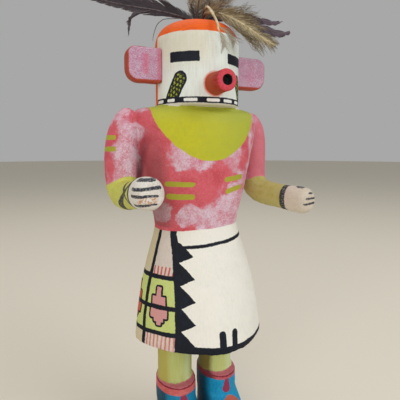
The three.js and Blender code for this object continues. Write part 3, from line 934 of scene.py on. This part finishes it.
plume = bpy.data.node_groups.new("feather", "GeometryNodeTree")
for label, kind, value in (
    ("Shafts", "NodeSocketGeometry", None),
    ("Length", "NodeSocketFloat", 0.06),
    ("Barbs", "NodeSocketInt", 200),
    ("Facing", "NodeSocketVector", (-0.43, -0.9, 0.05)),
    ("Rake", "NodeSocketFloat", 0.8),
    ("Curl", "NodeSocketFloat", 0.2),
    ("Droop", "NodeSocketFloat", 0.1),
    ("Clumps", "NodeSocketFloat", 12.0),
    ("Cling", "NodeSocketFloat", 0.5),
    ("Uneven", "NodeSocketFloat", 0.15),
    ("Fluff", "NodeSocketFloat", 0.1),
    ("Barb Radius", "NodeSocketFloat", 0.00018),
    ("Seed", "NodeSocketInt", 1),
    ("Vane Finish", "NodeSocketMaterial", None),
    ("Shaft Finish", "NodeSocketMaterial", None),
):
    socket = plume.interface.new_socket(label, in_out="INPUT", socket_type=kind)
    if value is not None:
        socket.default_value = value
plume.interface.new_socket("Feather", in_out="OUTPUT", socket_type="NodeSocketGeometry")
given = plume.nodes.new("NodeGroupInput").outputs
leave = plume.nodes.new("NodeGroupOutput").inputs
facing = given["Facing"]

# The shafts come as polylines; each point keeps the vane's width on either side and its own radius.
shafts = add_node(plume, "GeometryNodeMeshToCurve", {0: given["Shafts"]}).outputs[0]
shafts = add_node(plume, "GeometryNodeCurveSplineType", {0: shafts}, spline_type="CATMULL_ROM").outputs[0]
shafts = add_node(plume, "GeometryNodeResampleCurve", {"Curve": shafts, "Count": 60}).outputs[0]

# One straight strand for each barb, numbered, then bent onto its place along the shafts.
row = add_node(plume, "GeometryNodeMeshLine", {"Count": given["Barbs"]}).outputs[0]
strand = add_node(plume, "GeometryNodeCurvePrimitiveLine").outputs[0]
strand = add_node(plume, "GeometryNodeResampleCurve", {"Curve": strand, "Count": 7}).outputs[0]
strands = add_node(plume, "GeometryNodeInstanceOnPoints", {"Points": row, "Instance": strand}).outputs[0]
index = plume.nodes.new("GeometryNodeInputIndex").outputs[0]
strands = keep_value(plume, strands, "number", "INT", "INSTANCE", index)
strands = add_node(plume, "GeometryNodeRealizeInstances", {0: strands}).outputs[0]
number = Signal(plume, named_value(plume, "number", "INT"))
pair = (number * 0.5).math("FLOOR")
side = (number - pair * 2) * 2 - 1
out = Signal(plume, plume.nodes.new("GeometryNodeSplineParameter").outputs["Factor"])


def draw_lot(owner, salt):
    """A steady random number between 0 and 1 for each owner."""
    lot = plume.nodes.new("FunctionNodeRandomValue")
    plug(plume, owner, lot.inputs["ID"])
    plug(plume, Signal(plume, given["Seed"]) * 17 + salt, lot.inputs["Seed"])
    return Signal(plume, lot.outputs[1])


along = (pair * 2 + draw_lot(number, 1) * 1.6) / Signal(plume, given["Barbs"])
clump_count = Signal(plume, given["Clumps"])
clump = ((along + side * 0.013) * clump_count).math("FLOOR")
clump_lot = draw_lot(clump * 2 + side, 5)
cling = Signal(plume, given["Cling"]) * Signal(plume, given["Length"])
pull = ((clump + 0.5) / clump_count - along) * cling

sample = add_node(plume, "GeometryNodeSampleCurve", data_type="FLOAT_VECTOR", use_all_curves=True)
plug(plume, shafts, sample.inputs["Curves"])
plug(plume, named_value(plume, "vane", "FLOAT_VECTOR"), sample.inputs["Value"])
plug(plume, along, sample.inputs["Factor"])
root, tangent = sample.outputs["Position"], sample.outputs["Tangent"]
plus_side, minus_side, _ = parts_of(plume, sample.outputs[0])

across = vector_math(plume, "NORMALIZE", vector_math(plume, "CROSS_PRODUCT", facing, tangent))
is_plus = side * 0.5 + 0.5
width = plus_side * is_plus + minus_side * (is_plus * -1 + 1)
bare = add_node(plume, "GeometryNodeDeleteGeometry", {"Geometry": strands}, domain="CURVE")
plug(plume, (width * 1000).math("LESS_THAN", 0.35), bare.inputs["Selection"])
uneven = ((draw_lot(number, 2) - 0.5) * 2 + (clump_lot - 0.5) * 2.4) * Signal(plume, given["Uneven"])
width = width * (uneven + 1)
curl = Signal(plume, given["Curl"])
bend = out * out * curl
sideways = width * (out - bend) * side
forward = width * (out * Signal(plume, given["Rake"]) + bend) + pull * out * out
towards = width * out * out * (Signal(plume, given["Droop"]) + (clump_lot - 0.5) * 0.35)
place_on = vector_math(plume, "ADD", root, vector_math(plume, "SCALE", across, factor=sideways))
place_on = vector_math(plume, "ADD", place_on, vector_math(plume, "SCALE", tangent, factor=forward))
place_on = vector_math(plume, "ADD", place_on, vector_math(plume, "SCALE", facing, factor=towards))
apart = vector_math(plume, "SCALE", (0.013, 0.007, 0.011), factor=number)
wisp_place = vector_math(plume, "ADD", place_on, apart)
wisps = add_node(plume, "ShaderNodeTexNoise", {"Vector": wisp_place, "Scale": 160.0, "Detail": 1.0})
wisp = vector_math(plume, "SUBTRACT", wisps.outputs["Color"], (0.5, 0.5, 0.5))
stray = width * out * Signal(plume, given["Fluff"]) * 2
place_on = vector_math(plume, "ADD", place_on, vector_math(plume, "SCALE", wisp, factor=stray))

shaped = keep_value(plume, bare.outputs[0], "along", "FLOAT", "POINT", along)
shaped = keep_value(plume, shaped, "lot", "FLOAT", "POINT", draw_lot(number, 3))
shaped = keep_value(plume, shaped, "clump_lot", "FLOAT", "POINT", clump_lot)
shaped = keep_value(plume, shaped, "out", "FLOAT", "POINT", out)
shaped = add_node(plume, "GeometryNodeSetPosition", {"Geometry": shaped, "Position": place_on}).outputs[0]


def tube(curve, sides, radius, finish):
    """A curve as a closed tube of this radius."""
    ring = add_node(plume, "GeometryNodeCurvePrimitiveCircle", {"Resolution": sides, "Radius": 1.0})
    curves = {"Curve": curve, "Profile Curve": ring.outputs[0]}
    round_it = add_node(plume, "GeometryNodeCurveToMesh", curves)
    plug(plume, radius, round_it.inputs["Scale"])
    plug(plume, True, round_it.inputs["Fill Caps"])
    cover = {"Geometry": round_it.outputs[0], "Material": finish}
    return add_node(plume, "GeometryNodeSetMaterial", cover).outputs[0]


barb_radius = (out * -0.7 + 1) * Signal(plume, given["Barb Radius"])
own_radius = parts_of(plume, named_value(plume, "vane", "FLOAT_VECTOR"))[2]
both = plume.nodes.new("GeometryNodeJoinGeometry")
plume.links.new(tube(shaped, 3, barb_radius, given["Vane Finish"]), both.inputs[0])
plume.links.new(tube(shafts, 8, own_radius, given["Shaft Finish"]), both.inputs[0])
finished = add_node(plume, "GeometryNodeRealizeInstances", {0: both.outputs[0]})
plug(plume, finished.outputs[0], leave[0])


def grow_feather(name, shafts, **settings):
    """A feather from its shafts, each a row of (x, y, z, width to one side, to the other, radius) in mm."""
    points = []
    edges = []
    length = 0
    for shaft in shafts:
        for step, (start, end) in enumerate(zip(shaft, shaft[1:])):
            edges.append((len(points) + step, len(points) + step + 1))
            length += math.dist(start[:3], end[:3]) / 1000
        points += shaft
    mesh = bpy.data.meshes.new(name)
    mesh.from_pydata([Vector(point[:3]) / 1000 for point in points], edges, [])
    vane = mesh.attributes.new("vane", "FLOAT_VECTOR", "POINT")
    for item, point in zip(vane.data, points):
        item.vector = Vector(point[3:]) / 1000
    piece = bpy.data.objects.new(name, mesh)
    bpy.context.scene.collection.objects.link(piece)
    grow = piece.modifiers.new("grow", "NODES")
    grow.node_group = plume
    sockets = {item.name: item.identifier for item in plume.interface.items_tree if item.in_out == "INPUT"}
    for key, value in {"length": length, **settings}.items():
        grow[sockets[key.replace("_", " ").title()]] = value
    evaluated = piece.evaluated_get(bpy.context.evaluated_depsgraph_get())
    grown = bpy.data.meshes.new_from_object(evaluated)
    piece.modifiers.clear()
    piece.data = grown
    grown.name = name
    return piece


def barb_value(tree, name):
    node = tree.nodes.new("ShaderNodeAttribute")
    node.attribute_name = name
    return Signal(tree, node.outputs["Fac"])


def barb_finish(name, near_shaft, outer, dark, base, base_end, ends, roughness=0.6):
    """Barbs paler or darker by the shaft and further out, with a darker feather base and barb ends."""
    finish, tree, shader, _ = new_finish(name, roughness)
    out = barb_value(tree, "out")
    lot = barb_value(tree, "lot")
    colour = blend((out * 1.3 + (lot - 0.5) * 0.4).ramp(1), tint(*near_shaft), tint(*outer))
    shade = lot * 0.55 + barb_value(tree, "clump_lot") * 0.45
    colour = blend(shade.ramp(2.4, -0.8) * 0.75, colour, tint(*dark))
    from_base = barb_value(tree, "along") + (lot - 0.5) * 0.1
    colour = blend((from_base - base_end).inside(0.2), colour, tint(*base))
    colour = blend((out * -1 + 0.86 + (lot - 0.5) * 0.16).inside(0.12) * 0.8, colour, tint(*ends))
    plug(tree, colour, shader.inputs["Base Color"])
    return finish


def shaft_finish(name, low, high, roughness=0.5):
    """Horn in two tones, darker near the hole in the crown."""
    finish, tree, shader, place = new_finish(name, roughness)
    grain = grainy(tree, place, 0.5, detail=2)
    colour = blend(grain.ramp(3, -1), tint(*low), tint(*high))
    x, y, z = parts_of(tree, place)
    from_hole = (x.squared() + y.squared()).math("SQRT")
    colour = blend((from_hole - 9).inside(5), colour, tint(58, 42, 34))
    plug(tree, colour, shader.inputs["Base Color"])
    return finish


dark_barbs = barb_finish(
    "dark_barbs", near_shaft=(60, 50, 56), outer=(78, 66, 72), dark=(42, 33, 37),
    base=(34, 26, 28), base_end=0.12, ends=(70, 54, 50), roughness=0.4,
)
dark_shaft = shaft_finish("dark_shaft", (50, 40, 42), (104, 92, 92))
dark_feather = grow_feather(
    "dark_feather",
    [
        [
            (-2.2, 0.6, 263.2, 0, 0, 0.7),
            (-3.2, 1.3, 270.2, 2.4, 2.4, 0.6),
            (-8, 3.9, 273.8, 3.6, 5.4, 0.5),
            (-16, 7.7, 276.4, 5.4, 7, 0.45),
            (-24.6, 11.7, 278.2, 4.2, 8.4, 0.42),
            (-33, 15.8, 279.6, 3.4, 8.8, 0.4),
            (-46, 22, 282.2, 2.4, 7.2, 0.35),
            (-57, 27.2, 285.2, 1.8, 4.4, 0.28),
            (-63, 30, 287, 1, 1.6, 0.2),
        ],
        [
            (-25, 11.6, 277.2, 0, 0, 0.3),
            (-30.6, 13.6, 276.2, 3, 1.4, 0.26),
            (-34.8, 15.2, 274.2, 2.6, 1, 0.22),
            (-36.6, 16, 270.4, 1.4, 0.7, 0.18),
            (-37.2, 16.2, 265.6, 0.5, 0.4, 0.14),
            (-37.4, 16.2, 262.4, 0, 0, 0.1),
        ],
        [
            (-8.6, 2.6, 272.6, 0, 0, 0.2),
            (-18.8, 2.3, 270.8, 0, 0, 0.2),
            (-21.4, 3.6, 269.7, 0, 0, 0.2),
            (-23.5, 4.6, 267.5, 0, 0, 0.2),
            (-24.9, 5.2, 263.7, 0, 0, 0.18),
            (-25.6, 5.5, 260.9, 0, 0, 0.14),
            (-25.8, 5.6, 258.7, 0, 0, 0.1),
        ],
    ],
    barbs=1100, rake=1.9, curl=0.18, clumps=22.0, cling=0.3, uneven=0.06, fluff=0.08,
    barb_radius=0.00026, droop=0.12, seed=3, vane_finish=dark_barbs, shaft_finish=dark_shaft,
)
dress(dark_feather, "feather_dark")

buff_barbs = barb_finish(
    "buff_barbs", near_shaft=(184, 160, 122), outer=(214, 194, 152), dark=(164, 138, 104),
    base=(60, 42, 37), base_end=0.4, ends=(210, 190, 150),
)
pale_shaft = shaft_finish("pale_shaft", (176, 156, 112), (222, 208, 170))
brown_shaft = shaft_finish("brown_shaft", (96, 76, 56), (140, 116, 86))
buff_feather = grow_feather(
    "buff_feather",
    [
        [
            (-0.6, 2.8, 263.2, 0, 0, 0.6),
            (-0.4, 3.2, 269.4, 5, 5.4, 0.5),
            (1.6, 3, 276, 8, 8.6, 0.45),
            (3, 3.4, 287, 7.6, 7.6, 0.45),
            (2.8, 5, 298, 6.6, 6.4, 0.35),
            (1, 8, 307.6, 4, 3.6, 0.2),
        ],
    ],
    barbs=620, rake=0.75, curl=0.2, clumps=16.0, cling=0.4, uneven=0.16, fluff=0.5,
    barb_radius=0.00016, droop=0.1, seed=5, vane_finish=buff_barbs, shaft_finish=brown_shaft,
)
dress(buff_feather, "feather_buff")

grey_barbs = barb_finish(
    "grey_barbs", near_shaft=(122, 102, 84), outer=(160, 140, 112), dark=(94, 76, 62),
    base=(56, 42, 38), base_end=0.34, ends=(150, 130, 104),
)
grey_feather = grow_feather(
    "grey_feather",
    [
        [
            (1.7, 2.5, 263.2, 0, 0, 0.6),
            (3.2, 3, 269.4, 4.6, 5, 0.5),
            (10, 2.6, 276.4, 7.6, 7, 0.45),
            (17, 1.4, 285, 7.2, 6.6, 0.4),
            (24, 0.6, 294, 6, 5.6, 0.3),
            (29, 1.4, 300, 3, 2.8, 0.2),
        ],
    ],
    barbs=600, rake=0.75, curl=0.2, clumps=15.0, cling=0.45, uneven=0.2, fluff=0.55,
    barb_radius=0.00016, droop=0.1, seed=8, vane_finish=grey_barbs, shaft_finish=brown_shaft,
)
dress(grey_feather, "feather_grey")

tan_barbs = barb_finish(
    "tan_barbs", near_shaft=(216, 202, 164), outer=(190, 174, 134), dark=(116, 98, 72),
    base=(96, 78, 58), base_end=0.16, ends=(92, 74, 54),
)
tan_feather = grow_feather(
    "tan_feather",
    [
        [
            (1.3, -1.6, 263.2, 0, 0, 0.6),
            (1.8, -4.2, 271.8, 2.6, 3.4, 0.6),
            (3.2, -9.3, 274.3, 4.4, 4.6, 0.6),
            (6.4, -15.2, 272.4, 5.6, 6, 0.55),
            (11.5, -21.0, 268.7, 5.6, 7.4, 0.5),
            (16.8, -26.3, 264.0, 5, 7.6, 0.5),
            (22, -30, 259.4, 3.4, 4.6, 0.45),
            (28, -33.8, 254.6, 1.8, 2, 0.35),
            (30.8, -35.4, 253.2, 0.5, 0.5, 0.2),
        ],
    ],
    barbs=700, rake=1.8, curl=0.2, clumps=17.0, cling=0.6, uneven=0.42, fluff=0.6, barb_radius=0.00019,
    droop=0.1, seed=11, vane_finish=tan_barbs, shaft_finish=pale_shaft,
)
dress(tan_feather, "feather_tan")

purple_barbs = barb_finish(
    "purple_barbs", near_shaft=(112, 94, 104), outer=(104, 86, 104), dark=(72, 58, 68),
    base=(50, 38, 40), base_end=0.25, ends=(86, 68, 80), roughness=0.45,
)
purple_feather = grow_feather(
    "purple_feather",
    [
        [
            (2.9, 0.5, 263.2, 0, 0, 0.6),
            (4.4, 0.2, 270.2, 1.5, 1.5, 0.6),
            (14, -6.4, 273.4, 3.4, 3.4, 0.5),
            (25.1, -13.4, 271.8, 3.4, 3.2, 0.45),
            (31.5, -16.6, 268.8, 2.6, 3.2, 0.4),
            (38, -19.6, 265.8, 2.4, 2.8, 0.35),
            (44.4, -22.6, 264.2, 1.6, 1.8, 0.3),
            (48.9, -24.6, 265, 0.6, 0.6, 0.2),
        ],
        [
            (24, -12, 273, 0, 0, 0.3),
            (27, -13.6, 272.8, 1.6, 1.6, 0.3),
            (33.1, -16.7, 271.6, 2.2, 2, 0.3),
            (39, -19.5, 270.2, 1.8, 1.4, 0.25),
            (43.8, -21.8, 270.4, 0.6, 0.6, 0.2),
        ],
    ],
    barbs=860, rake=1.7, curl=0.2, clumps=12.0, cling=0.25, uneven=0.05, fluff=0.08,
    barb_radius=0.00025, droop=0.1, seed=14, vane_finish=purple_barbs, shaft_finish=dark_shaft,
)
dress(purple_feather, "feather_purple")

down_barbs = barb_finish(
    "down_barbs", near_shaft=(176, 166, 146), outer=(190, 184, 168), dark=(130, 118, 100),
    base=(150, 136, 112), base_end=0.1, ends=(150, 142, 128),
)
quill_feather = grow_feather(
    "quill_feather",
    [
        [
            (-1.2, -1.8, 263.2, 0, 0, 0.6),
            (1.2, -3.6, 271.2, 0, 0, 0.6),
            (1.5, -6.2, 275.2, 0, 0, 0.6),
            (0.9, -10.4, 276.3, 0, 0, 0.6),
            (0.4, -14.6, 274.3, 0, 0, 0.62),
            (-0.2, -18.7, 270.9, 0, 0, 0.64),
            (-0.5, -23, 267.1, 0, 0, 0.66),
            (-1, -27, 262.8, 0, 0, 0.64),
            (-1, -28.6, 259, 0, 0, 0.5),
            (0.6, -28.8, 256.4, 2.4, 2.2, 0.2),
            (1.8, -29, 253.6, 2.8, 2.6, 0.12),
            (2.6, -29, 250.4, 2, 2, 0.08),
        ],
        [
            (0.8, -11.8, 276.4, 0, 0, 0.34),
            (0.6, -16.4, 273.4, 0, 0, 0.34),
            (0.4, -20.4, 269.6, 0, 0, 0.34),
            (-0.1, -25, 264.9, 0, 0, 0.34),
            (0.2, -28, 260.4, 0, 0, 0.3),
        ],
        [
            (0.2, -28, 260.4, 1, 1, 0.16),
            (4.2, -28.2, 258.8, 2.6, 2.8, 0.12),
            (7.6, -27.6, 256.8, 2.8, 2.8, 0.09),
            (10.2, -26.8, 254.2, 1.4, 1.2, 0.06),
        ],
    ],
    barbs=560, rake=1.5, curl=0.1, clumps=22.0, cling=0.45, uneven=0.3, fluff=0.45,
    barb_radius=0.00011, droop=0.0, seed=17, vane_finish=down_barbs, shaft_finish=pale_shaft,
)
dress(quill_feather, "feather_quill")
